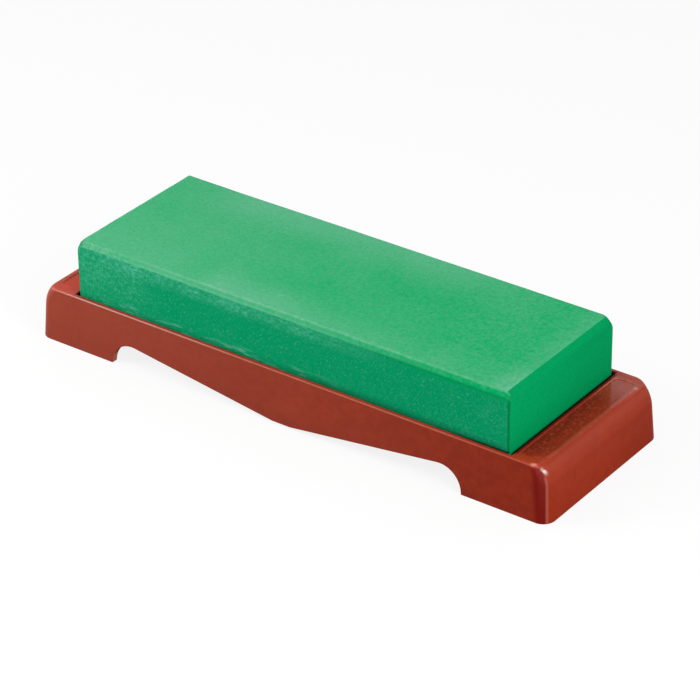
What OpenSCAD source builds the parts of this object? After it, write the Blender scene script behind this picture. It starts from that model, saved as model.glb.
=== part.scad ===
// Bench whetstone: an abrasive block seated in the shallow recess of a moulded stand.
// Millimetres, +Z up, origin on the ground under the middle of the stand, +X along its length.

/* [Stone] */
// Length of the abrasive block
stone_l = 185; // [150:1:230]
// Width of the abrasive block
stone_w = 64; // [45:0.5:80]
// Thickness of the abrasive block
stone_h = 25; // [12:0.5:40]
// Chamfer ground along the top edges
top_chamfer = 1.5; // [0.5:0.1:4]
// Chamfer along the bottom edges
bottom_chamfer = 1; // [0.2:0.1:2]
// Chamfer on the four upright edges
upright_chamfer = 0.8; // [0.2:0.1:3]

/* [Recess] */
// Depth of the recess that the block sits in
recess_d = 2.8; // [1:0.1:5]
// Clearance between the block and each end of the recess
end_gap = 1.5; // [0.4:0.1:2.5]
// Clearance between the block and each long side of the recess
side_gap = 0.4; // [0.3:0.1:1.5]
// Radius of the relief in each corner of the recess
relief_r = 1; // [0.4:0.1:1.2]

/* [Base] */
// Height of the base, from the ground to its rim
base_h = 21; // [18:0.5:32]
// Width of the rim beside the recess, before its edge is rounded
rim_w = 1.5; // [1.2:0.1:5]
// Length of the shelf past each end of the recess, before its edge is rounded
shelf_l = 14.9; // [12:0.1:30]
// Lean of the outer walls, in degrees from upright
draft = 3.35; // [0.5:0.05:6]
// Plan radius of the upright corners
corner_r = 4.8; // [4:0.1:8]
// Length of shelf taken up where each end rolls over into it
end_reach = 3.7; // [2:0.1:6]
// Height of wall taken up where each end rolls over into its shelf
end_drop = 8; // [2:0.1:12]
// How far each end turns, in degrees, before the shelf cuts it off in a crease
end_turn = 68; // [45:1:90]
// Radius along the outer edge of the rim
rim_round = 0.6; // [0.2:0.1:1]

/* [Skirt] */
// Length of each end foot, along the ground
foot_l = 34.5; // [20:0.5:45]
// Lean of the inner side of each foot, in degrees from upright
flank_lean = 5; // [2:1:35]
// Rise of the skirt from the belly to the arch, in degrees
arch_slope = 7.4; // [5:0.1:8.5]
// Radius of the crown of each arch
arch_r = 9; // [3:0.5:10]
// Length of the flat under the belly
belly_flat = 7.7; // [4:0.1:30]
// Gap between the belly and the ground
belly_lift = 0.9; // [0.3:0.1:2]

/* [Panels] */
// Depth of the sunken panel in each shelf
panel_d = 0.4; // [0.2:0.1:1]
// Land between the recess and the panel
panel_land = 1.3; // [1.2:0.1:3]
// Land between the panel and the crease of the rounded end
panel_edge = 1.6; // [0.4:0.1:2]
// Land between each end of the panel and the side of the recess
panel_inset = 2.8; // [1:0.1:10]
// Radius of the corners of the panel
panel_r = 2; // [1:0.1:6]

/* [Underside] */
// Thickness of the outer walls
wall_t = 2.4; // [1.6:0.1:3]
// Thickness of the deck under the recess
deck_t = 2.4; // [1.6:0.1:4]
// Thickness of the ribs under the deck
rib_t = 1.6; // [1:0.1:2.4]
// Depth of the ribs below the deck
rib_d = 3.4; // [1.5:0.1:4]
// Number of ribs across the base
rib_count = 6; // [2:1:10]

/* [Hidden] */
$fn = 32;
// Overlap that lets a cut run clear of the face it opens
past = 1;
// Thickness of one slice of a lofted form
film = 0.01;
// Slices that make up each rounded edge
round_steps = 7;

stone_z = base_h - recess_d;
recess_l = stone_l + 2 * end_gap;
recess_w = stone_w + 2 * side_gap;

foot_half_l = recess_l / 2 + shelf_l + lean(base_h);
foot_half_w = recess_w / 2 + rim_w + lean(base_h);
deck_z = stone_z - deck_t;

panel_w = shelf_l - end_reach - panel_land - panel_edge;
panel_l = recess_w - 2 * panel_inset;
panel_x = recess_l / 2 + panel_land + panel_w / 2;

rib_pitch = 2 * (half_l(deck_z) - wall_t) / (rib_count + 1);

// The arch is bounded by the belly's slope and the foot's flank, which would meet at arch_tip
foot_x = foot_half_l - foot_l;
belly_x = belly_flat / 2;
arch_tip_z = (belly_lift + tan(arch_slope) * (foot_x - belly_x))
    / (1 + tan(arch_slope) * tan(flank_lean));
arch_tip = [foot_x - tan(flank_lean) * arch_tip_z, arch_tip_z];
half_angle = (90 + flank_lean - arch_slope) / 2;
crown_axis = (flank_lean + arch_slope) / 2 - 135;
crown = arch_tip + arch_r / sin(half_angle) * [cos(crown_axis), sin(crown_axis)];
tangent_l = arch_r / tan(half_angle);
slope_end = arch_tip - tangent_l * [cos(arch_slope), sin(arch_slope)];
flank_end = arch_tip + tangent_l * [sin(flank_lean), -cos(flank_lean)];

// How far a drafted wall has leaned in at height z
function lean(z) = z * tan(draft);

// How far an edge that rolls over the given reach, drop and turn has rolled in at height z
function roll_in(z, reach, drop, turn) =
    z <= base_h - drop ? 0
        : reach * (1 - sqrt(max(0, 1 - pow(sin(turn) * ((z - base_h) / drop + 1), 2)))) / (1 - cos(turn));

// Half length and half width of the outer form at height z
function half_l(z) = foot_half_l - lean(z) - roll_in(z, end_reach, end_drop, end_turn);
function half_w(z) = foot_half_w - lean(z) - roll_in(z, rim_round, rim_round, 90);

// Heights of the slices that follow an edge of the given drop and turn up to the rim
function roll_heights(drop, turn) =
    [for (k = [0 : round_steps]) base_h - drop + drop * sin(turn * k / round_steps) / sin(turn)];

// Rectangle with round corners
module round_rect(l, w, r) {
    square([l - 2 * r, w], center = true);
    square([l, w - 2 * r], center = true);
    for (x = [-1, 1], y = [-1, 1])
        translate([x * (l / 2 - r), y * (w / 2 - r)])
            circle(r);
}

// Rectangle standing on y = 0, with its lower and upper corners cut off
module cut_rect(w, h, low, high) {
    polygon([
        [low - w / 2, 0], [w / 2 - low, 0], [w / 2, low], [w / 2, h - high],
        [w / 2 - high, h], [high - w / 2, h], [-w / 2, h - high], [-w / 2, low]
    ]);
}

// One slice of a drafted form at height z, drawn in by inset
module slice(z, inset = 0) {
    translate([0, 0, z])
        linear_extrude(film)
            round_rect(2 * (half_l(z) - inset), 2 * (half_w(z) - inset), corner_r - inset);
}

// Drafted block with upright corners, a rounded rim and rolled ends
module outer_form() {
    hull()
        for (z = concat([0], roll_heights(end_drop, end_turn), roll_heights(rim_round, 90)))
            slice(min(z, base_h - film));
}

// Ribs that stiffen the deck: a spine along the base and a row across it
module ribs() {
    translate([-foot_half_l, -rib_t / 2, deck_z - rib_d])
        cube([2 * foot_half_l, rib_t, rib_d + past]);
    for (k = [1 : rib_count])
        translate([(k - (rib_count + 1) / 2) * rib_pitch - rib_t / 2, -foot_half_w, deck_z - rib_d])
            cube([rib_t, 2 * foot_half_w, rib_d + past]);
}

// Hollow under the deck, open at the ground
module hollow() {
    difference() {
        hull() {
            slice(-past, wall_t);
            slice(deck_z - film, wall_t);
        }
        ribs();
    }
}

// Opening under the skirt on one side of the belly, as seen from the front
module arch_outline() {
    polygon([
        [-past, -past], [-past, belly_lift], [belly_x, belly_lift], slope_end, flank_end,
        [foot_x, 0], [foot_x + past * tan(flank_lean), -past]
    ]);
    translate(crown)
        circle(arch_r, $fn = 64);
}

// Both openings, cut through the two long skirts
module arches() {
    for (side = [0, 1])
        mirror([side, 0, 0])
            rotate([90, 0, 0])
                linear_extrude(2 * (foot_half_w + past), center = true)
                    arch_outline();
}

// Seat of the abrasive block, with a relief in each corner
module recess() {
    translate([0, 0, stone_z])
        linear_extrude(recess_d + past) {
            square([recess_l, recess_w], center = true);
            for (x = [-1, 1], y = [-1, 1])
                translate([x * recess_l / 2, y * (recess_w / 2 - relief_r)])
                    circle(relief_r);
        }
}

// Sunken panel in the shelf at each end
module panels() {
    for (x = [-1, 1])
        translate([x * panel_x, 0, base_h - panel_d])
            linear_extrude(panel_d + past)
                round_rect(panel_w, panel_l, min(panel_r, panel_w / 2 - film));
}

// Abrasive block, chamfered along every edge
module stone() {
    color([0.20, 0.68, 0.45])
        translate([0, 0, stone_z])
            intersection() {
                linear_extrude(stone_h)
                    translate([0, -stone_w / 2])
                        cut_rect(stone_l, stone_w, upright_chamfer, upright_chamfer);
                rotate([90, 0, 0])
                    linear_extrude(stone_w, center = true)
                        cut_rect(stone_l, stone_h, bottom_chamfer, top_chamfer);
                rotate([90, 0, 90])
                    linear_extrude(stone_l, center = true)
                        cut_rect(stone_w, stone_h, bottom_chamfer, top_chamfer);
            }
}

// Moulded stand that carries the block
module base() {
    color([0.61, 0.23, 0.16])
        difference() {
            outer_form();
            hollow();
            arches();
            recess();
            panels();
        }
}

stone();
base();
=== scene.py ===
import math

import bmesh
import bpy
from bpy.props import FloatProperty, FloatVectorProperty, IntProperty, PointerProperty
from mathutils import Matrix, Vector, noise


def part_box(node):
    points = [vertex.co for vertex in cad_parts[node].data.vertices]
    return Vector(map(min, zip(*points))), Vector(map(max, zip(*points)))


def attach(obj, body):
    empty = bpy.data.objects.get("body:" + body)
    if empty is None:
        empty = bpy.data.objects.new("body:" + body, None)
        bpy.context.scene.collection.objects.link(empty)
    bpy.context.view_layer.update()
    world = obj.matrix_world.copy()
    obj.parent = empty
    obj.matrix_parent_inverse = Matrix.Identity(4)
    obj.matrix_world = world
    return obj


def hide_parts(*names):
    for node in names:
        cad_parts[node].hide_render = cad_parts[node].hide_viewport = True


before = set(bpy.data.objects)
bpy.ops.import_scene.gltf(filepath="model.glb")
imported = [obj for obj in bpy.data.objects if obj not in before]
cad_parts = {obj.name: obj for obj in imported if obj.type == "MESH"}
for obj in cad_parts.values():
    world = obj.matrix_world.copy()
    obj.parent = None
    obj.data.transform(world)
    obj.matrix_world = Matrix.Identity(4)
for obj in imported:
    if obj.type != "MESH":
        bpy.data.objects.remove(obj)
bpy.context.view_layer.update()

bl_info = {
    "name": "Bench Whetstone",
    "version": (1, 0, 0),
    "blender": (4, 5, 0),
    "location": "3D View > Sidebar > Whetstone",
    "description": "Models a bench whetstone: the abrasive block, its moulded base and a studio stage",
    "category": "Object",
}

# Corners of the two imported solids, which set every overall size
STONE_LOW, STONE_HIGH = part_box("stone")
BASE_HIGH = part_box("base")[1]
STONE_SIZE = STONE_HIGH - STONE_LOW
STONE_MIDDLE = (STONE_LOW + STONE_HIGH) / 2
# Height of the rim round the block
RIM_Z = BASE_HIGH.z
# Distance that a cutter runs past the face it opens
PAST = 0.001
# Distance within which two heights count as one
TOUCH = 1e-6
# Steps that make up each rolled edge of the base
ROLL_STEPS = 16
# Faces of the base that meet at a smaller angle are shaded as one
SMOOTH_ANGLE = math.radians(15)
# Edges of the base that turn by more are rounded
ROUND_ANGLE = math.radians(32)
# Depths below each face of the block at which its mesh is cut, so that it can follow the chamfers
CHAMFER_CUTS = (0.0002, 0.0005, 0.0008, 0.0011, 0.0014, 0.0017, 0.0020, 0.0024)
# Times that the chamfers of the block are pressed in, until they all hold
CHAMFER_PASSES = 8
# Width of the chamfer at the left end of the block, as a share of that at the right
LEFT_END_SHARE = 0.8
# Share by which the side chamfers wander in width, and how fast they do so along a metre
WANDER, WANDER_RATE = 0.16, 25
# How fast the ground skin and the chips of the block change along a metre
SKIN_RATE, CHIP_RATE = 110, 420
# How deep the wear goes on the flats, and how much deeper on the edges and in the chips
FLAT_WEAR, EDGE_WEAR, CHIP_WEAR = 0.15, 2.5, 8
# Distances to the left of the middle between which the chips set in
CHIPS_FROM, CHIPS_TO = 0.05, 0.09
# Depth and softness of the wear on the top corners of the block
BACK_RIGHT_WEAR = (0.0033, 0.0016)
FRONT_LEFT_WEAR = (0.0032, 0.0013)
OTHER_CORNER_WEAR = (0.0026, 0.0009)
# Painted highlights on the right end of the base, on the rim's end, round the near corner and at the far
# corner of the panel, each with its place, its radius and its strength
RIM_END_GLINTS = (
    ((0.1026, -0.0331, 0.0209), 0.0012, 0.45),
    ((0.1034, -0.0327, 0.0209), 0.0012, 0.35),
)
GLINT_SPOTS = (
    ((0.1026, -0.0331, 0.0209), 0.0010, 0.15),
    ((0.1034, -0.0327, 0.0209), 0.0010, 0.15),
    ((0.1058, -0.0323, 0.0195), 0.0009, 0.45),
    ((0.1064, -0.0320, 0.0190), 0.0009, 0.75),
    ((0.1068, -0.0318, 0.0187), 0.0010, 0.80),
    ((0.1072, -0.0317, 0.0182), 0.0012, 0.25),
    ((0.1049, 0.0269, 0.0210), 0.0012, 0.30),
)
# Spot where the coat of the base is strongest, with its place, its radius and its strength
POLISHED_SPOTS = (
    ((0.1067, -0.0319, 0.0188), 0.0022, 0.40),
)
# Place and size of each lamp, which faces the origin
LAMPS = {
    "overhead": ((-0.15, 0.25, 1.3), 1.2),
    "key": ((-0.35, -0.30, 0.36), 0.22),
    "front": ((0.60, -0.20, 0.45), 0.3),
}
# Half the side of the square floor
FLOOR_REACH = 6
# Width of the camera's sensor in millimetres
SENSOR = 36.0


def length(name, description, default):
    """Size property in metres."""
    return FloatProperty(name=name, description=description, default=default, unit="LENGTH", precision=5)


def angle(name, description, degrees):
    """Angle property, given in degrees."""
    return FloatProperty(name=name, description=description, default=math.radians(degrees),
                         subtype="ANGLE", unit="ROTATION")


def power(name, description, default):
    """Power of a lamp in watts."""
    return FloatProperty(name=name, description=description, default=default, unit="POWER")


def share(name, description, default):
    """Share from 0 to 1."""
    return FloatProperty(name=name, description=description, default=default,
                         subtype="FACTOR", min=0.0, max=1.0)


def colour(name, description, default):
    """Linear colour property."""
    return FloatVectorProperty(name=name, description=description, default=default,
                               subtype="COLOR", size=3, min=0.0, max=1.0)


# Settings

class StoneSettings(bpy.types.PropertyGroup):
    """Sizes and colours of the abrasive block."""

    top_chamfer: length("Top chamfer", "Chamfer ground along the top edges", 0.0015)
    upright_chamfer: length("Upright chamfer", "Chamfer on the upright edges", 0.0005)
    bottom_chamfer: length("Bottom chamfer", "Chamfer along the bottom edges", 0.001)
    crease: length("Crease", "Softness of the creases along the sides", 0.00025)
    end_crease: length("End crease", "Softness of the creases across the ends", 0.0006)
    cell: length("Cell", "Spacing of the mesh that carries the wear", 0.0016)
    wear: length("Wear", "Depth of the unevenness left by hand grinding", 0.0001)
    green: colour("Green", "Body of the abrasive", (0.0005, 0.43, 0.136))
    deep_green: colour("Deep green", "Darker grain in the abrasive", (0.0003, 0.37, 0.112))
    film: colour("Film", "Dried film on the worn top and the chamfers", (0.56, 0.74, 0.745))
    cool_green: colour("Cool green", "Body of the abrasive along its sides", (0.002, 0.33, 0.168))
    slurry: colour("Slurry", "Slurry dried on the sides", (0.27, 0.94, 0.70))
    grit: colour("Grit", "Loose pale grains on the sides", (0.44, 0.92, 0.86))
    # Painted shade too: besides real pits, this colour darkens the seat, the upright edges and the chamfers
    # where shade falls
    grime_and_shade: colour("Grime", "Damp dirt at the seat and along the edges", (0.004, 0.040, 0.022))


class BaseSettings(bpy.types.PropertyGroup):
    """Sizes and colours of the moulded base."""

    draft: angle("Draft", "Lean of the outer walls", 3.35)
    corner_r: length("Corner radius", "Plan radius of the upright corners", 0.0048)
    end_reach: length("End reach", "Length of shelf taken up where each end rolls over", 0.0037)
    end_drop: length("End drop", "Height of wall taken up where each end rolls over", 0.008)
    end_turn: angle("End turn", "How far each end turns before the shelf cuts it off in a crease", 68)
    rim_round: length("Rim round", "Radius along the outer edge of the rim", 0.0006)
    recess_d: length("Recess depth", "Depth of the seat of the block", 0.0028)
    end_gap: length("End gap", "Clearance between the block and each end of the recess", 0.0015)
    side_gap: length("Side gap", "Clearance between the block and each side of the recess", 0.0004)
    foot_l: length("Foot length", "Length of each end foot along the ground", 0.0345)
    flank_lean: angle("Flank lean", "Lean of the inner side of each foot", 5)
    arch_slope: angle("Arch slope", "Rise of the skirt from the belly to the arch", 7.4)
    arch_r: length("Arch radius", "Radius of the crown of each arch", 0.009)
    belly_flat: length("Belly flat", "Length of the flat under the belly", 0.0077)
    belly_lift: length("Belly lift", "Gap between the belly and the ground", 0.0009)
    panel_d: length("Panel depth", "Depth of the sunken panel in each shelf", 0.0004)
    panel_w: length("Panel width", "Size of each panel along the base", 0.0083)
    panel_l: length("Panel length", "Size of each panel across the base", 0.0592)
    panel_x: length("Panel place", "Distance from the middle to each panel", 0.09945)
    panel_r: length("Panel radius", "Radius of the corners of the panel", 0.002)
    wall_t: length("Wall", "Thickness of the outer walls", 0.0024)
    deck_t: length("Deck", "Thickness of the deck under the block", 0.0024)
    rib_t: length("Rib thickness", "Thickness of the ribs under the deck", 0.0016)
    rib_d: length("Rib depth", "Depth of the ribs below the deck", 0.0034)
    rib_count: IntProperty(name="Ribs", description="Number of ribs across the base", default=6)
    edge_r: length("Edge radius", "Radius left on every moulded edge", 0.00018)
    red: colour("Red brown", "Body of the plastic", (0.37, 0.035, 0.011))
    dark_red: colour("Dark red brown", "Darker streaks in the plastic", (0.32, 0.029, 0.010))
    # Painted shade too: besides random blotches and the panel ground, this deepens the walls towards the
    # right and the panels beside the block
    deep_red_and_shade: colour("Deep red", "Plastic that is handled and damp", (0.20, 0.014, 0.008))
    # Painted light: brighter red on the left shelf, which the block shades from the lamps
    lit_red: colour("Warm red", "Cleaner plastic on the left shelf", (0.72, 0.060, 0.026))
    # Painted shade: dark red for the reflection on the right corners' flank, and on the rim and shelf beside
    # the block there
    crimson: colour("Crimson", "Shaded red of the right corners and the rim there", (0.205, 0.008, 0.007))
    # Painted shadow of the block on the land beside its right end
    seat_shade: colour("Damp", "Damp plastic beside the block's right end", (0.085, 0.008, 0.006))
    # Painted highlights and painted light along the edges, with some real wear
    rubbed_and_highlight: colour("Rubbed", "Plastic rubbed pale along its edges", (0.80, 0.24, 0.17))
    # Painted highlights, pale, on the rim and on the right corners
    glint: colour("Dust", "Pale dust on the rim and on the right corners", (0.78, 0.66, 0.63))
    # Painted sheen and highlights too: slurry on the walls with a painted sheen, and painted highlights on
    # the rim and down the right corner
    chalk_and_sheen: colour("Chalk", "Dried slurry wiped over the walls and the rim", (0.50, 0.34, 0.27))
    # Painted shade in the seat gap
    grime_and_shade: colour("Grime", "Damp dirt in the seat", (0.010, 0.006, 0.005))

    def half_length(self, z):
        """Half length of the outer form at height z."""
        roll = self.roll_in(z, self.end_reach, self.end_drop, self.end_turn)
        return BASE_HIGH.x - z * math.tan(self.draft) - roll

    def half_width(self, z):
        """Half width of the outer form at height z."""
        roll = self.roll_in(z, self.rim_round, self.rim_round, math.pi / 2)
        return BASE_HIGH.y - z * math.tan(self.draft) - roll

    @staticmethod
    def roll_in(z, reach, drop, turn):
        """How far an edge that rolls over the given reach, drop and turn has rolled in at height z."""
        sine = math.sin(turn) * max(0.0, (z - RIM_Z) / drop + 1)
        return reach * (1 - math.sqrt(max(0.0, 1 - sine * sine))) / (1 - math.cos(turn))


class StageSettings(bpy.types.PropertyGroup):
    """Camera, light and floor."""

    azimuth: angle("Azimuth", "Turn of the camera round the object", 36.647)
    elevation: angle("Elevation", "Height of the camera above the horizon", 30.438)
    roll: angle("Roll", "Tilt of the camera about its own axis", -0.86)
    distance: length("Distance", "Distance of the camera from its target", 1.12606)
    target_z: length("Target height", "Height of the point that the camera looks at", 0.01762)
    pan_x: length("Pan across", "Shift of the view across the picture", -0.003531)
    pan_y: length("Pan up", "Shift of the view up the picture", 0.003312)
    lens: FloatProperty(name="Lens", description="Focal length of the camera in millimetres", default=164.955)
    floor: colour("Floor", "Pale floor, as it is seen", (0.95, 0.95, 0.95))
    bounce: colour("Bounce", "Pale floor, as it lights the object", (0.50, 0.50, 0.50))
    glow: share("Glow", "How far the floor shines white of itself to the camera", 0.86)
    mirrored: share("Mirrored", "How far a reflection shows the floor as it is seen", 0.40)
    fill: share("Fill", "Strength of the light from all round", 0.40)
    overhead: power("Overhead", "Power of the lamp above the object", 2.5)
    key: power("Key", "Power of the lamp at the front left", 1.4)
    front: power("Front", "Power of the lamp at the front right", 2.7)


# Shader building

class Signal:
    """Socket of a node that takes part in arithmetic."""

    def __init__(self, nodes, socket):
        self.nodes = nodes
        self.socket = socket

    def math(self, operation, *values):
        """Math node on these values."""
        return self.nodes.node("ShaderNodeMath", {"operation": operation}, dict(enumerate(values)))

    def __add__(self, other):
        return self.math("ADD", self, other)

    __radd__ = __add__

    def __sub__(self, other):
        return self.math("SUBTRACT", self, other)

    def __rsub__(self, other):
        return self.math("SUBTRACT", other, self)

    def __mul__(self, other):
        return self.math("MULTIPLY", self, other)

    __rmul__ = __mul__

    def __abs__(self):
        return self.math("ABSOLUTE", self)

    def step(self, low, high):
        """Smooth rise from 0 at low to 1 at high."""
        return self.nodes.node("ShaderNodeMapRange", {"interpolation_type": "SMOOTHSTEP"},
                               {"Value": self, "From Min": low, "From Max": high})

    def fall(self, low, high):
        """Smooth fall from 1 at low to 0 at high."""
        return 1 - self.step(low, high)

    def near(self, value, inner, outer):
        """1 within the inner distance of a value, falling to 0 at the outer one."""
        return abs(self - value).fall(inner, outer)

    def root(self):
        """Square root."""
        return self.math("SQRT", self)

    def turned(self, other):
        """Angle of a direction with this value across and the other ahead."""
        return self.math("ARCTAN2", self, other)

    def above(self, other):
        """The larger of this value and another."""
        return self.math("MAXIMUM", self, other)

    def axes(self):
        """The three components of a vector."""
        return [self.nodes.node("ShaderNodeSeparateXYZ", {}, {0: self}, k) for k in range(3)]


class Nodes:
    """Node tree in the making."""

    def __init__(self, tree):
        self.tree = tree

    def node(self, kind, settings=None, inputs=None, output=0):
        """Any node, with its settings and the values or links of its sockets."""
        made = self.tree.nodes.new(kind)
        for name, value in (settings or {}).items():
            setattr(made, name, value)
        for name, value in (inputs or {}).items():
            self.feed(made.inputs[name], value)
        return Signal(self, made.outputs[output])

    def feed(self, socket, value):
        """Set a socket to a value or link it."""
        if isinstance(value, Signal):
            self.tree.links.new(value.socket, socket)
        else:
            socket.default_value = value

    def rays(self):
        """Whether a ray comes from the camera, from a reflection or through something clear."""
        return [self.node("ShaderNodeLightPath", output=name) for name in
                ("Is Camera Ray", "Is Glossy Ray", "Is Transmission Ray")]

    def mix(self, amount, first, second):
        """Blend of two colours."""
        first, second = [c if isinstance(c, Signal) else (*c, 1.0) for c in (first, second)]
        return self.node("ShaderNodeMix", {"data_type": "RGBA"}, {0: amount, 6: first, 7: second}, 2)


class Finish(Nodes):
    """Procedural material in the making."""

    def __init__(self, name):
        self.material = bpy.data.materials.new(name)
        self.material.use_nodes = True
        super().__init__(self.material.node_tree)
        self.shader = self.tree.nodes["Principled BSDF"]

    def set(self, **sockets):
        """Set sockets of the main shader, with underscores for spaces."""
        for name, value in sockets.items():
            self.feed(self.shader.inputs[name.replace("_", " ")], value)


class LayeredFinish(Finish):
    """Material whose colour is laid on in layers, by place and by the way that the surface faces."""

    def __init__(self, name):
        super().__init__(name)
        self.place = self.node("ShaderNodeTexCoord", output="Object")
        self.x, self.y, self.z = self.place.axes()
        self.nx, self.ny, self.nz = self.node("ShaderNodeTexCoord", output="Normal").axes()
        # Height above the rim, which is negative below it
        self.over_rim = self.z - RIM_Z

    def lay(self, amount, layer):
        """Lay a colour over the body so far."""
        self.body = self.mix(amount, self.body, layer)

    def noise(self, scale, detail=2.0, roughness=0.5, distortion=0.0, place=None):
        """Cloudy pattern from 0 to 1."""
        return self.node("ShaderNodeTexNoise", {}, {
            "Vector": place or self.place, "Scale": scale, "Detail": detail,
            "Roughness": roughness, "Distortion": distortion})

    def stretched(self, scale, turn=0.0):
        """Coordinates stretched along each axis."""
        return self.node("ShaderNodeMapping", {},
                         {"Vector": self.place, "Scale": scale, "Rotation": (0, 0, turn)})

    def slanted(self, size, turn):
        """Coordinates of streaks of this size that lean in the plane of the sides."""
        return self.node("ShaderNodeMapping", {"vector_type": "TEXTURE"},
                         {"Vector": self.place, "Scale": size, "Rotation": (0, turn, 0)})

    def hairs(self, scale, turn, width):
        """Thin curved lines, as left by loose grit."""
        field = self.noise(1.0, 2, 0.4, 0.3, self.stretched(scale, turn))
        return field.near(0.5, 0.0, width)

    def specks(self, scale, small, large):
        """Round grains, one in each cell of a random mesh."""
        away = self.node("ShaderNodeTexVoronoi", {}, {"Vector": self.place, "Scale": scale})
        return away.fall(small, large)

    def spots(self, places):
        """Soft spots, each with its place, its radius and its strength."""
        total = 0
        for place, radius, strength in places:
            away = self.node("ShaderNodeVectorMath", {"operation": "DISTANCE"},
                             {0: self.place, 1: place}, "Value")
            total = total + strength * away.fall(0.0, radius)
        return total

    def bump(self, height, distance):
        """Relief of the surface in metres."""
        self.set(Normal=self.node("ShaderNodeBump", {}, {"Height": height, "Distance": distance}))


class AbrasiveFinish(LayeredFinish):
    """Matt green abrasive: a pale film on its top, slurry and grit on its sides, clean ends."""

    def __init__(self, stone):
        super().__init__("abrasive_green")
        self.stone = stone
        # Distances past the top and past the sides, which are negative inside the block
        self.past_top = self.z - STONE_HIGH.z
        self.past_side = abs(self.y) - STONE_HIGH.y
        self.top = self.nz.step(0.9, 0.99)
        self.side = abs(self.ny).step(0.8, 0.97)
        self.ends = abs(self.nx).step(0.7, 0.9)
        self.grain = self.noise(1500, 3, 0.6)
        self.mottle = self.noise(620, 3, 0.65)
        self.patch = self.noise(52, 5, 0.62, 0.8)
        self.fleck = self.noise(1050, 3, 0.7)
        self.brush = self.noise(1.0, 4, 0.65, 0.5, self.stretched((520, 1, 900)))
        # Factor that breaks a line up into crumbs
        self.crumbs = 0.3 + 1.4 * self.mottle
        # Sides wiped bare under the right of the chamfer, and heavy slurry at the left
        self.bare = 1 - 0.85 * self.x.step(0.04, 0.06) * self.past_top.step(-0.0042, -0.0027)
        self.heavy = self.x.fall(-0.072, -0.052) * (0.35 + 0.65 * self.over_rim.step(0.001, 0.015))
        self.body = self.mix(self.grain.step(0.35, 0.65), stone.deep_green, stone.green)
        self.lay_film()
        self.lay_chamfer()
        self.lay_slurry()
        self.lay_grit()
        self.lay_painted_shade()
        self.set(Base_Color=self.body, Roughness=0.82 + 0.12 * self.grain, Specular_IOR_Level=0.02)
        self.bump(self.grain + 0.5 * self.mottle, 0.00006)

    def lay_film(self):
        """Film on the top: heaviest at the left and along both long edges."""
        x, y, patch = self.x, self.y, self.patch
        cloud = self.noise(30, 5, 0.55, 0.6)
        left = x.fall(-0.062, -0.018)
        front = y.fall(-0.032, -0.010) * (0.25 + 0.80 * x.step(-0.042, -0.030)
                                          - 0.40 * x.step(-0.015, 0.005) - 0.35 * x.step(0.03, 0.07))
        back = y.step(0.006, 0.030) * x.step(-0.078, -0.050) * x.fall(0.03, 0.08)
        tip = x.step(0.080, 0.090)
        smudge = tip * y.fall(-0.026, -0.012) * patch.step(0.35, 0.6)
        scratch = self.hairs((50, 12, 1), 0.6, 0.007) + self.hairs((14, 55, 1), -0.5, 0.006)
        scuff = x.near(STONE_HIGH.x - 0.0016, 0.0001, 0.0009) * patch.step(0.42, 0.58) * y.fall(0.0, 0.02)
        film = 0.085 - 0.022 * x.step(-0.005, 0.020) + 0.035 * left + 0.125 * front + 0.09 * back
        film += 0.09 * smudge + 0.05 * tip + 0.12 * (cloud - 0.5) + 0.08 * patch.step(0.6, 0.85)
        film += (0.16 + 0.08 * x.step(0.02, 0.07)) * (self.mottle - 0.5) + 0.06 * (self.grain - 0.5)
        film += 0.05 * scratch * patch.step(0.56, 0.70) + 0.25 * scuff * self.crumbs
        self.lay(self.top * film.above(0.0), self.stone.film)

    def lay_chamfer(self):
        """Chamfer along the sides: dimmed a little with painted shade, hazy at the left, with a chipped crest
        worn pale and partly a painted highlight.
        """
        x = self.x
        band = abs(self.ny).step(0.35, 0.6) * self.nz.step(0.3, 0.5) * (1 - self.top)
        crest = self.past_side.near(-0.0016, 0.0001, 0.0005) * self.past_top.step(-0.0013, -0.0008)
        ridge = self.past_top.near(-0.0015, 0.0002, 0.0008) * self.past_side.step(-0.0006, -0.0002)
        chips = self.specks(700, 0.10, 0.22) * x.fall(-0.086, -0.070)
        worn = x.fall(-0.080, -0.055)
        haze = 0.008 + 0.132 * x.fall(-0.05, 0.10) + (0.20 + 0.2 * worn) * (self.mottle - 0.5)
        haze -= 0.04 * worn * self.patch.fall(0.4, 0.6)
        rubbed_and_highlight = crest * (0.08 + 0.06 * x.step(-0.06, -0.03) + 0.5 * chips) + 0.05 * ridge * x.fall(0.0, 0.05)
        # Painted shade: the chamfer band is darkened a little against the light it catches
        self.lay(0.06 * band, self.stone.grime_and_shade)
        self.lay(band * haze + rubbed_and_highlight * self.crumbs, self.stone.film)

    def lay_slurry(self):
        """Slurry on the cooler sides: thick at the left, brushed on under the chamfer."""
        x, patch = self.x, self.patch
        shoulder = self.past_top.step(-0.0080, -0.0040) * x.step(-0.080, -0.068) * x.fall(0.005, 0.05)
        thin = 0.35 * x.step(0.045, 0.075) * patch.step(0.5, 0.7) + 0.15 * patch.step(0.55, 0.75)
        daub = self.heavy * (0.45 + 0.55 * patch.step(0.3, 0.6)) + shoulder * (0.80 + patch.step(0.25, 0.6))
        daub += thin * self.bare
        crust = self.bare * (0.03 + 0.14 * self.heavy + 0.03 * x.step(0.05, 0.08))
        crust *= self.fleck.step(0.50, 0.64)
        self.lay(0.5 * self.side * self.bare, self.stone.cool_green)
        self.lay(self.side * (daub * (0.02 + 0.17 * self.brush.step(0.35, 0.75)) + crust), self.stone.slurry)

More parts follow.
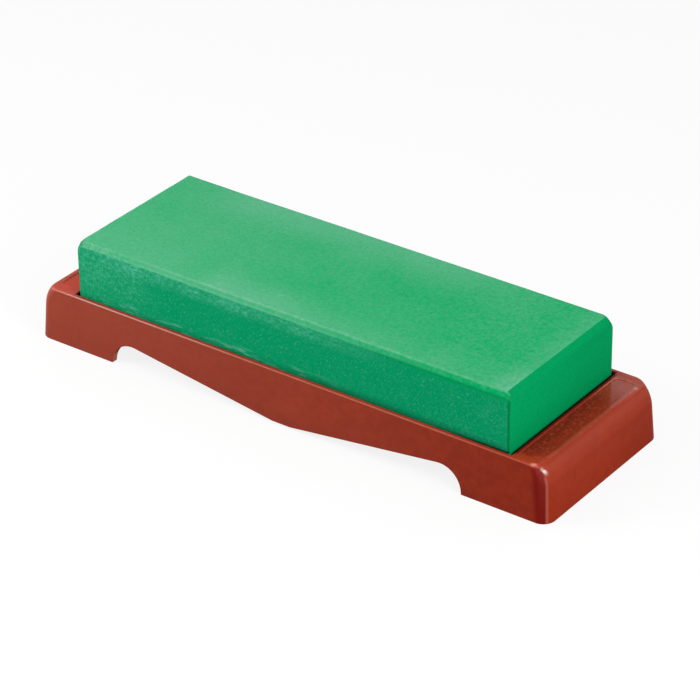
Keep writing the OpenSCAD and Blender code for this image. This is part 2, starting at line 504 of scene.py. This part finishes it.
    def lay_grit(self):
        """Loose grit in short slanting dashes, a dried streak along the seam, dark pits, and a darker band
        under the chamfer at the right.
        """
        x = self.x
        dashes = self.noise(1.0, 2, 0.5, 0.0, self.slanted((0.0016, 1.0, 0.0006), -1.03)).step(0.60, 0.72)
        grit = 0.14 * self.specks(400, 0.04, 0.15) + 0.10 * self.specks(800, 0.06, 0.20) + 0.12 * dashes
        streak = self.noise(1.0, 4, 0.6, 0.4, self.stretched((70, 1, 520))).step(0.50, 0.64)
        streak *= self.over_rim.fall(0.0014, 0.0040) * x.step(-0.085, -0.070) * x.fall(-0.005, 0.03)
        loose = self.bare * grit * (0.4 + self.brush + 0.4 * self.heavy)
        pits = self.side * self.fleck.fall(0.30, 0.42)
        # Darker band just under the chamfer at the right
        under = self.past_top.near(-0.0018, 0.0003, 0.0010) * self.past_side.step(-0.0008, -0.0002)
        self.lay(self.side * (loose + 0.26 * streak), self.stone.grit)
        self.lay(0.14 * pits + 0.14 * under * x.step(0.02, 0.05), self.stone.grime_and_shade)

    def lay_painted_shade(self):
        """Painted shade along the upright edges, on the end chamfers, in the seat, on the sides towards the
        seat, along the seam at the right and on the ends towards the back.
        """
        x, y, nz, over_rim = self.x, self.y, self.nz, self.over_rim
        # Painted shade: upright edges, end chamfers and the seat are darkened where shade falls
        corner = abs(self.nx).step(0.25, 0.55) * abs(self.ny).step(0.25, 0.55) * nz.fall(0.2, 0.45)
        bend = abs(self.nx).step(0.35, 0.6) * nz.step(0.2, 0.45) * nz.fall(0.8, 0.95)
        seat = (1 - self.ends) * over_rim.fall(-0.0009, 0.0004)
        seat += 1.25 * self.ends * over_rim.fall(-0.0011, -0.0006) * y.step(-0.0315, -0.0285)
        # Painted shadow along the seam at the right, and painted shade darkening the sides towards the seat
        seam = (1 - self.ends) * over_rim.fall(0.0001, 0.0007) * x.step(0.060, 0.086)
        seat_shade = self.side * over_rim.fall(0.0002, 0.0034) * (0.3 + 0.7 * x.step(-0.02, 0.03))
        painted_shade = 0.45 * corner + 0.16 * bend + 0.75 * seat * (1 - corner) + 0.36 * seat_shade * (1 - seat)
        # Painted shade on the ends, darker towards the back
        self.lay(painted_shade + 0.5 * seam + 0.10 * self.ends * y.step(-0.02, 0.03), self.stone.grime_and_shade)


class MouldedFinish(LayeredFinish):
    """Glossy red-brown plastic with painted highlights, sheen and shade along its edges and walls, and a
    stippled ground in the panels.
    """

    def __init__(self, base):
        super().__init__("moulded_plastic")
        self.base = base
        # Distances past the ends and past the sides of the recess, which are negative inside it
        self.past_end = abs(self.x) - STONE_HIGH.x - base.end_gap
        self.past_side = abs(self.y) - STONE_HIGH.y - base.side_gap
        self.right = self.x.step(-0.05, 0.05)
        self.left = 1 - self.right
        self.far = self.y.step(0.010, 0.027)
        self.wall = abs(self.ny).step(0.6, 0.95)
        self.level = self.nz.step(0.97, 0.99)
        self.shelf = self.over_rim.step(-base.panel_d - 0.0003, -base.panel_d - 0.0001)
        # Distance outside a panel's outline, which is negative inside it
        along = (abs(abs(self.x) - base.panel_x) - base.panel_w / 2 + base.panel_r).above(0)
        across = (abs(self.y) - base.panel_l / 2 + base.panel_r).above(0)
        self.outside = (along * along + across * across).root() - base.panel_r
        self.inside = self.shelf * self.outside.fall(-0.0003, 0.0)
        # Land between the block's right end and the panel, which takes a painted shadow of the block
        self.land = self.past_end.step(-0.0006, -0.0003) * self.past_end.fall(0.0006, 0.0012) \
            * self.past_side.fall(-0.0024, -0.0002) * self.shelf * self.right
        # Edge and flat of the rim
        self.rim = self.past_side.step(-0.0002, 0.0004) * self.over_rim.step(-0.0012, -0.0007) \
            * self.nz.step(0.2, 0.45) * self.nz.fall(0.8, 0.97)
        self.strip = self.past_side.step(-0.0001, 0.0001) * self.level
        # Turn of the wall round an upright corner, the corner itself and the painted highlight line down its
        # middle
        self.turn = abs(self.nx).turned(abs(self.ny))
        self.steep = self.nz.fall(0.5, 0.8)
        self.upright = self.turn.step(0.03, 0.22) * self.turn.fall(1.25, 1.50) * self.steep \
            * self.past_end.step(0.0052, 0.0065)
        self.line = self.upright * self.turn.step(0.70, 0.82) * self.turn.fall(0.88, 1.02) \
            * self.over_rim.fall(-0.0050, -0.0025) * self.right
        self.rub = self.noise(90, 4, 0.6)
        self.stipple = self.noise(850, 3, 0.65)
        flow = self.noise(1.0, 4, 0.55, 0.6, self.stretched((14, 40, 60)))
        peel = self.noise(420, 2, 0.5)
        self.body = self.mix(flow.step(0.3, 0.7), base.dark_red, base.red)
        self.lay_walls()
        self.lay_panels()
        self.lay_shade()
        self.lay_rubbing_and_highlights()
        self.lay_rim()
        self.lay_seat()
        self.set(Base_Color=self.body, Roughness=0.16 + 0.08 * flow + 0.18 * self.inside,
                 Specular_IOR_Level=0.02, Coat_Weight=self.gloss(), Coat_Roughness=0.12, Coat_IOR=1.4)
        self.bump(0.25 * peel + 3 * self.inside * self.stipple, 0.00004)

    def lay_walls(self):
        """Walls: painted shade deepening from left to right, blotched, and wiped with slurry and a painted
        sheen that is strongest at the left.
        """
        blotch = self.noise(300, 3, 0.6).step(0.35, 0.65)
        wiped = 0.015 + 0.075 * self.x.fall(-0.12, 0.12)
        # Painted shade: the walls darken towards the right
        self.lay(0.36 * self.wall * self.x.step(-0.06, 0.11) + 0.30 * (blotch - 0.5), self.base.deep_red_and_shade)
        # Slurry and painted sheen on the walls, strongest at the left
        self.lay(self.wall * wiped * (0.6 + 0.8 * self.rub), self.base.chalk_and_sheen)

    def lay_panels(self):
        """Shelves: painted light at the left, and at the right a stippled panel, darker, deepened by painted
        shade beside the block, with a painted sheen at its far end and a painted shadow on the land by the
        block.
        """
        past_end, right, far = self.past_end, self.right, self.far
        # Painted light on the left shelf and along the rim sides of the right one
        lit = self.left * (0.35 + 0.25 * self.inside) + 0.06 * right * self.past_side.step(-0.0024, -0.0004)
        # Painted shade deepens the panel ground beside the block, and less so at the far end
        depth = right * (1.30 - 0.90 * past_end.step(0.0015, 0.0090)) * (1 - 0.75 * far)
        # Painted sheen: the far end of the right shelf is paler
        pale = right * far * self.shelf * past_end.step(0.0010, 0.0025)
        self.lay(self.shelf * past_end.step(0.0, 0.0010) * lit, self.base.lit_red)
        self.lay(self.inside * depth * (0.2 + 0.8 * self.stipple.fall(0.42, 0.60)), self.base.deep_red_and_shade)
        self.lay(0.10 * self.inside * self.stipple.step(0.55, 0.68) + 0.10 * pale, self.base.rubbed_and_highlight)
        # Painted shadow of the block on the land beside it
        self.lay(0.85 * self.land, self.base.seat_shade)

    def lay_shade(self):
        """Painted shade: a dark reflection on the flank of the upright corners at the right."""
        flank = (self.x + 0.12 * self.z).step(0.1040, 0.1066) * self.turn.fall(0.72, 0.95) * self.steep
        self.lay(0.85 * flank, self.base.crimson)

    def lay_rubbing_and_highlights(self):
        """Pale red on the rim, the panels' edges, the feet, the ends and the corners: painted highlights and
        painted light, with some real wear.
        """
        x, z, nz = self.x, self.z, self.nz
        # Painted highlights on the panels' edges and along the crease, painted light on the panels' shaded
        # walls and on the left foot's inner side
        bead = self.shelf * self.outside.near(0.0001, 0.0001, 0.0005) * self.past_end.step(0.0015, 0.0060)
        sill = self.shelf * abs(self.outside).fall(0.0002, 0.0005) * nz.fall(0.5, 0.9)
        sill *= 1 - self.right * (1 - self.far)
        foot = abs(self.nx).step(0.8, 0.95) * abs(x).fall(0.080, 0.081) * z.fall(0.010, 0.012)
        # Painted sheen: the rolled ends grow paler towards the crease at their top
        bloom = 0.02 * z.step(0.004, 0.012) + 0.045 * nz.step(0.05, 0.35) + 0.03 * nz.step(0.4, 0.62)
        bloom *= abs(self.nx).step(0.2, 0.4) * self.past_end.step(0.0095, 0.0105)
        bloom *= 1 - 0.6 * nz.step(0.66, 0.78)
        crease = abs(x).near(self.base.half_length(RIM_Z) - 0.0004, 0.0002, 0.0008)
        crease *= self.past_side.fall(-0.0064, -0.0034) * self.shelf
        edges = self.rim * (0.24 + 0.2 * (self.rub - 0.5)) + 0.24 * bead * self.rub.step(0.3, 0.7)
        edges += (0.6 + 0.3 * self.left) * sill + (0.2 + 0.4 * self.left) * foot
        edges += 0.06 * self.strip + bloom + 0.15 * crease + 0.035 * self.wall * x.fall(0.03, 0.10)
        # Painted highlights on the left upright corners and down the right corner's line
        edges += 0.25 * self.upright * self.turn.step(0.1, 0.9) * self.left + 0.18 * self.line
        self.lay(edges + self.spots(RIM_END_GLINTS), self.base.rubbed_and_highlight)

    def lay_rim(self):
        """Rim: painted highlights along its middle, at its left and on the right corners, and painted shade
        at its right and on the shelf there.
        """
        x = self.x
        middle = self.rim * x.step(-0.055, -0.035) * x.fall(0.065, 0.085)
        right = self.strip * x.step(0.03, 0.08) * x.fall(0.094, 0.100)
        near = self.right * self.past_end.step(0.0, 0.002) * self.y.fall(-0.0310, -0.0285) * self.level
        left = self.rim * x.step(-0.112, -0.088) * x.fall(-0.10, 0.0)
        self.lay(0.10 * self.line + 0.10 * middle, self.base.chalk_and_sheen)
        self.lay(0.25 * right + 0.12 * near, self.base.crimson)
        self.lay(0.36 * left + self.spots(GLINT_SPOTS), self.base.glint)

    def lay_seat(self):
        """Painted shade in the seat gap, thickest along its edges and lifted out of its near corners."""
        x, y = abs(self.x), abs(self.y)
        seat = self.over_rim.fall(-0.0009, -0.0001) * self.over_rim.step(-0.0070, -0.0035) \
            * self.past_end.fall(0.0004, 0.0013) * self.past_side.fall(0.0001, 0.0004)
        edge = x.step(STONE_HIGH.x - 0.006, STONE_HIGH.x) + y.step(STONE_HIGH.y - 0.006, STONE_HIGH.y)
        wiped = x.step(STONE_HIGH.x - 0.0002, STONE_HIGH.x + 0.0006) * self.y.fall(-0.0310, -0.0298)
        self.lay(seat * (0.12 + 0.8 * edge.step(0.0, 1.0)) * (1 - 0.85 * wiped), self.base.grime_and_shade)

    def gloss(self):
        """Shine of the faces that look up, dulled in the panels and on the land by the block."""
        far_shelf = self.far * self.shelf * self.past_side.fall(-0.0029, -0.0009)
        shine = 0.15 * self.nz.step(0.15, 0.6) + 0.28 * self.nz.step(0.90, 0.97) + 0.36 * far_shelf
        dulled = (1 - 0.35 * self.inside * (1 - self.far)) * (1 - 0.9 * self.land)
        # The near right corner is polished by hands
        return shine * dulled + self.spots(POLISHED_SPOTS)


def floor_finish(stage):
    """Pale floor that looks white and keeps a soft shadow."""
    f = Finish("pale_floor")
    camera, glossy, clear = f.rays()
    seen = camera.above(stage.mirrored * glossy.above(clear))
    f.set(Base_Color=f.mix(seen, stage.bounce, stage.floor), Roughness=0.9, Specular_IOR_Level=0.0)
    white = f.node("ShaderNodeEmission", {}, {"Color": (1, 1, 1, 1), "Strength": 1.0})
    surface = Signal(f, f.shader.outputs[0])
    mixed = f.node("ShaderNodeMixShader", {}, {0: camera * stage.glow, 1: surface, 2: white})
    f.feed(f.tree.nodes["Material Output"].inputs["Surface"], mixed)
    return f.material


# Mesh building

def as_object(name, bm):
    """Object at the origin that holds the shape of a bmesh."""
    mesh = bpy.data.meshes.new(name)
    bm.to_mesh(mesh)
    bm.free()
    obj = bpy.data.objects.new(name, mesh)
    bpy.context.scene.collection.objects.link(obj)
    return obj


def plate(bm, half_l, half_w, radius, z, x=0.0, segments=12):
    """Flat plate with round corners, as one face."""
    before = set(bm.faces)
    matrix = Matrix.Translation((x, 0, z)) @ Matrix.Diagonal((half_l, half_w, 1, 1))
    corners = bmesh.ops.create_grid(bm, x_segments=1, y_segments=1, size=1, matrix=matrix)["verts"]
    if radius:
        bmesh.ops.bevel(bm, geom=corners, affect="VERTICES", offset=radius, offset_type="OFFSET",
                        segments=segments, profile=0.5, material=-1, clamp_overlap=False)
    return next(face for face in bm.faces if face not in before)


def raise_face(bm, face, rise, draw_x=0.0, draw_y=0.0):
    """Extrude a face upwards, drawing its outline in towards the middle."""
    made = bmesh.ops.extrude_face_region(bm, geom=[face, *face.edges])["geom"]
    for vert in (g for g in made if isinstance(g, bmesh.types.BMVert)):
        vert.co += Vector((math.copysign(draw_x, -vert.co.x), math.copysign(draw_y, -vert.co.y), rise))
    return next(g for g in made if isinstance(g, bmesh.types.BMFace))


def split(bm, faces, axis, at):
    """Cut faces of a mesh across one axis."""
    normal = Vector((0, 0, 0))
    normal[axis] = 1
    elements = {*faces, *(e for f in faces for e in f.edges), *(v for f in faces for v in f.verts)}
    bmesh.ops.bisect_plane(bm, geom=list(elements), dist=1e-7, plane_co=normal * at, plane_no=normal)


def cut(obj, bm):
    """Take the shape of a bmesh out of an object."""
    bmesh.ops.recalc_face_normals(bm, faces=bm.faces)
    cutter = as_object("cutter", bm)
    modifier = obj.modifiers.new("cut", "BOOLEAN")
    modifier.operation, modifier.solver, modifier.object = "DIFFERENCE", "EXACT", cutter
    depsgraph = bpy.context.evaluated_depsgraph_get()
    result = bpy.data.meshes.new_from_object(obj.evaluated_get(depsgraph))
    obj.modifiers.clear()
    old, obj.data = obj.data, result
    bpy.data.meshes.remove(old)
    bpy.data.meshes.remove(cutter.data)


def soft_edges(obj, width, segments=3):
    """Round every sharp edge and keep the flats flat."""
    obj.data.shade_smooth()
    obj.data.set_sharp_from_angle(angle=SMOOTH_ANGLE)
    bevel = obj.modifiers.new("edges", "BEVEL")
    bevel.width, bevel.segments, bevel.limit_method = width, segments, "ANGLE"
    bevel.angle_limit = ROUND_ANGLE
    bevel.use_clamp_overlap = True
    bevel.harden_normals = True


def outer_form(base):
    """Drafted block with upright corners, a rounded rim and rolled ends."""
    heights = {0.0}
    for drop, turn in ((base.end_drop, base.end_turn), (base.rim_round, math.pi / 2)):
        for k in range(ROLL_STEPS + 1):
            risen = math.sin(turn * k / ROLL_STEPS) / math.sin(turn)
            heights.add(round(RIM_Z - drop * (1 - risen), 7))
    heights = sorted(heights)
    bm = bmesh.new()
    face = plate(bm, base.half_length(0), base.half_width(0), base.corner_r, 0, segments=20)
    for low, high in zip(heights, heights[1:]):
        face = raise_face(bm, face, high - low, base.half_length(low) - base.half_length(high),
                          base.half_width(low) - base.half_width(high))
    bmesh.ops.recalc_face_normals(bm, faces=bm.faces)
    return bm


def flat_top(bm, z):
    """Faces that lie at height z or above it."""
    return [face for face in bm.faces if min(vert.co.z for vert in face.verts) > z - TOUCH]


def hollow_form(base):
    """Hollow under the deck, with a pocket between each pair of ribs."""
    wall = base.wall_t
    deck = RIM_Z - base.recess_d - base.deck_t
    top = deck - base.rib_d
    bm = bmesh.new()
    face = plate(bm, base.half_length(0) - wall, base.half_width(0) - wall, base.corner_r - wall, -PAST)
    raise_face(bm, face, top + PAST, base.half_length(0) - base.half_length(top),
               base.half_width(0) - base.half_width(top))
    pitch = 2 * (base.half_length(deck) - wall) / (base.rib_count + 1)
    ribs = [(0, (k - (base.rib_count - 1) / 2) * pitch) for k in range(base.rib_count)] + [(1, 0.0)]
    for axis, middle in ribs:
        for side in (-1, 1):
            split(bm, flat_top(bm, top), axis, middle + side * base.rib_t / 2)
    cells = [face for face in flat_top(bm, top) if not any(
        abs(face.calc_center_median()[axis] - middle) < base.rib_t / 2 for axis, middle in ribs)]
    for face in bmesh.ops.extrude_discrete_faces(bm, faces=cells)["faces"]:
        bmesh.ops.translate(bm, vec=(0, 0, base.rib_d), verts=face.verts)
    return bm


def arch_form(base):
    """Opening under the skirt, from foot to foot."""
    foot_x = base.half_length(0) - base.foot_l
    rise, lean = math.tan(base.arch_slope), math.tan(base.flank_lean)
    belly_x = base.belly_flat / 2
    tip_z = (base.belly_lift + rise * (foot_x - belly_x)) / (1 + rise * lean)
    tip_x = foot_x - lean * tip_z
    bm = bmesh.new()
    half = [(belly_x, base.belly_lift), (tip_x, tip_z), (foot_x + lean * PAST, -PAST)]
    outline = [(-x, z) for x, z in reversed(half)] + half
    width = 2 * (base.half_width(0) + PAST)
    verts = [bm.verts.new((x, -width / 2, z)) for x, z in outline]
    bm.faces.new(verts)
    # The highest point on each side is rounded off into the crown
    tips = [verts[1], verts[4]]
    tangent = base.arch_r / math.tan((math.pi / 2 + base.flank_lean - base.arch_slope) / 2)
    bmesh.ops.bevel(bm, geom=tips, affect="VERTICES", offset=tangent, offset_type="OFFSET",
                    segments=14, profile=0.5, material=-1, clamp_overlap=False)
    made = bmesh.ops.extrude_face_region(bm, geom=bm.faces[:])["geom"]
    moved = [g for g in made if isinstance(g, bmesh.types.BMVert)]
    bmesh.ops.translate(bm, vec=(0, width, 0), verts=moved)
    return bm


def recess_form(base):
    """Seat of the block."""
    bm = bmesh.new()
    half_l, half_w = STONE_HIGH.x + base.end_gap, STONE_HIGH.y + base.side_gap
    seat = plate(bm, half_l, half_w, 0, RIM_Z - base.recess_d)
    raise_face(bm, seat, base.recess_d + PAST)
    return bm


def panel_form(base):
    """Sunken panel in each shelf."""
    bm = bmesh.new()
    for side in (-1, 1):
        panel = plate(bm, base.panel_w / 2, base.panel_l / 2, base.panel_r, RIM_Z - base.panel_d,
                      side * base.panel_x, segments=8)
        raise_face(bm, panel, base.panel_d + PAST)
    return bm


def smooth(value, low, high):
    """Smooth rise from 0 at low to 1 at high."""
    t = min(1.0, max(0.0, (value - low) / (high - low)))
    return t * t * (3 - 2 * t)


def ease(value, soft):
    """Zero below -soft, the value itself above soft, and a smooth bend between."""
    if value <= -soft:
        return 0.0
    return value if value >= soft else (value + soft) ** 2 / (4 * soft)


def corner_wear(p):
    """Depth and softness of the wear on the nearest top corner."""
    if p.x > 0 and p.y > 0:
        return BACK_RIGHT_WEAR
    if p.x < 0 and p.y < 0:
        return FRONT_LEFT_WEAR
    return OTHER_CORNER_WEAR


def chamfers(stone, p):
    """Chamfers near a point: the axes that each one slants across, its reach and its softness."""
    upright = ((0, 1), stone.upright_chamfer, stone.crease)
    if p.z <= STONE_MIDDLE.z:
        return [upright, *((axes, stone.bottom_chamfer, stone.crease) for axes in ((0, 2), (1, 2)))]
    # The chamfer of the left end is narrower, and those of the sides wander in width
    across = stone.top_chamfer * (LEFT_END_SHARE if p.x < 0 else 1.0)
    along = stone.top_chamfer * (1 + WANDER * noise.noise((p.x * WANDER_RATE, math.copysign(3, p.y), 0)))
    return [upright, ((0, 2), across, stone.end_crease), ((1, 2), along, stone.crease),
            ((0, 1, 2), *corner_wear(p))]


def press(stone, p):
    """Press a point of the block in until it lies under all its chamfers."""
    inward = [-1 if c > m else 1 for c, m in zip(p, STONE_MIDDLE)]
    near = chamfers(stone, p)
    for _ in range(CHAMFER_PASSES):
        for axes, reach, soft in near:
            depth = sum(STONE_SIZE[a] / 2 - abs(p[a] - STONE_MIDDLE[a]) for a in axes)
            push = ease(reach - depth, soft) / len(axes)
            for a in axes:
                p[a] += inward[a] * push


def wear(stone, vert):
    """Grind a point of the block down unevenly, most along its edges, and chip it near the left end."""
    edge = 1 - max(abs(c) for c in vert.normal)
    uneven = max(0.0, noise.fractal(vert.co * SKIN_RATE, 1.0, 2.0, 4) + 0.4)
    chip = max(0.0, noise.noise(vert.co * CHIP_RATE) - 0.25) * smooth(-vert.co.x, CHIPS_FROM, CHIPS_TO)
    depth = (FLAT_WEAR + EDGE_WEAR * edge) * uneven + CHIP_WEAR * edge * chip
    vert.co -= vert.normal * stone.wear * depth


def stone_form(stone):
    """Ground block: a flat chamfer along every edge, soft creases, worn corners and an uneven skin."""
    bm = bmesh.new()
    matrix = Matrix.Translation(STONE_MIDDLE) @ Matrix.Diagonal((*STONE_SIZE, 1))
    bmesh.ops.create_cube(bm, size=1, matrix=matrix)
    for axis, size in enumerate(STONE_SIZE):
        count = round(size / stone.cell)
        cuts = [size * k / count for k in range(2, count - 1)]
        for depth in CHAMFER_CUTS:
            cuts += [depth, size - depth]
        for at in cuts:
            split(bm, bm.faces[:], axis, STONE_LOW[axis] + at)
    for vert in bm.verts:
        press(stone, vert.co)
    bm.normal_update()
    for vert in bm.verts:
        wear(stone, vert)
    return bm


# Operators

class WHETSTONE_OT_stone(bpy.types.Operator):
    """Model the abrasive block"""

    bl_idname = "whetstone.stone"
    bl_label = "Abrasive Block"

    def execute(self, context):
        stone = context.scene.whetstone_stone
        obj = as_object("abrasive_block", stone_form(stone))
        obj.data.shade_smooth()
        obj.data.materials.append(AbrasiveFinish(stone).material)
        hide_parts("stone")
        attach(obj, "stone")
        return {"FINISHED"}


class WHETSTONE_OT_base(bpy.types.Operator):
    """Model the moulded base"""

    bl_idname = "whetstone.base"
    bl_label = "Moulded Base"

    def execute(self, context):
        base = context.scene.whetstone_base
        obj = as_object("moulded_base", outer_form(base))
        for form in (hollow_form, arch_form, recess_form, panel_form):
            cut(obj, form(base))
        soft_edges(obj, base.edge_r)
        obj.data.materials.clear()
        obj.data.materials.append(MouldedFinish(base).material)
        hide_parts("base")
        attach(obj, "base")
        return {"FINISHED"}


class WHETSTONE_OT_stage(bpy.types.Operator):
    """Set the floor, the light and the camera"""

    bl_idname = "whetstone.stage"
    bl_label = "Studio Stage"

    def execute(self, context):
        scene, stage = context.scene, context.scene.whetstone_stage
        bm = bmesh.new()
        bmesh.ops.create_grid(bm, x_segments=1, y_segments=1, size=FLOOR_REACH)
        floor = as_object("floor", bm)
        floor.data.materials.append(floor_finish(stage))
        self.sky(scene, stage)
        for name, (place, size) in LAMPS.items():
            self.lamp(scene, name, place, size, getattr(stage, name))
        self.camera(scene, stage)
        scene.view_settings.view_transform = "Standard"
        return {"FINISHED"}

    @staticmethod
    def sky(scene, stage):
        """White surround that lights the object only at the fill's strength."""
        scene.world = bpy.data.worlds.new("studio")
        scene.world.use_nodes = True
        nodes = Nodes(scene.world.node_tree)
        camera, glossy, clear = nodes.rays()
        seen = camera.above(glossy).above(clear)
        background = nodes.tree.nodes["Background"]
        nodes.feed(background.inputs["Color"], (1, 1, 1, 1))
        nodes.feed(background.inputs["Strength"],
                   nodes.node("ShaderNodeMapRange", {}, {"Value": seen, "To Min": stage.fill}))

    @staticmethod
    def lamp(scene, name, place, size, watts):
        """Soft square lamp that faces the object."""
        data = bpy.data.lights.new(name, "AREA")
        data.size, data.energy = size, watts
        lamp = bpy.data.objects.new(name, data)
        lamp.location = place
        lamp.rotation_euler = (-Vector(place)).to_track_quat("-Z", "Y").to_euler()
        scene.collection.objects.link(lamp)

    @staticmethod
    def camera(scene, stage):
        """Camera at the photograph's place."""
        sin_a, cos_a = math.sin(stage.azimuth), math.cos(stage.azimuth)
        sin_e, cos_e = math.sin(stage.elevation), math.cos(stage.elevation)
        back = Vector((sin_a * cos_e, -cos_a * cos_e, sin_e))
        right = Matrix.Rotation(stage.roll, 3, back) @ Vector((cos_a, sin_a, 0))
        up = back.cross(right)
        data = bpy.data.cameras.new("photo_view")
        data.lens, data.sensor_width = stage.lens, SENSOR
        data.clip_start, data.clip_end = 0.01, 100.0
        camera = bpy.data.objects.new("photo_view", data)
        target = Vector((0, 0, stage.target_z)) - right * stage.pan_x - up * stage.pan_y
        place = target + back * stage.distance
        camera.matrix_world = Matrix.Translation(place) @ Matrix((right, up, back)).transposed().to_4x4()
        scene.collection.objects.link(camera)
        scene.camera = camera


class WHETSTONE_PT_panel(bpy.types.Panel):
    """Lists the pieces of the whetstone and their settings"""

    bl_idname = "WHETSTONE_PT_panel"
    bl_label = "Bench Whetstone"
    bl_space_type = "VIEW_3D"
    bl_region_type = "UI"
    bl_category = "Whetstone"

    def draw(self, context):
        for group, operator in zip(GROUPS, OPERATORS):
            box = self.layout.box()
            box.operator(operator.bl_idname)
            settings = getattr(context.scene, group)
            for name in settings.bl_rna.properties.keys():
                if name not in {"rna_type", "name"}:
                    box.prop(settings, name)


# Settings of the scene and the operators that use them, in the same order
GROUPS = {"whetstone_stone": StoneSettings, "whetstone_base": BaseSettings, "whetstone_stage": StageSettings}
OPERATORS = (WHETSTONE_OT_stone, WHETSTONE_OT_base, WHETSTONE_OT_stage)
CLASSES = (*GROUPS.values(), *OPERATORS, WHETSTONE_PT_panel)


def register():
    for cls in CLASSES:
        bpy.utils.register_class(cls)
    for name, cls in GROUPS.items():
        setattr(bpy.types.Scene, name, PointerProperty(type=cls))


def unregister():
    for name in GROUPS:
        delattr(bpy.types.Scene, name)
    for cls in reversed(CLASSES):
        bpy.utils.unregister_class(cls)


def main():
    register()
    bpy.ops.whetstone.stone()
    bpy.ops.whetstone.base()
    bpy.ops.whetstone.stage()


if __name__ == "__main__":
    main()
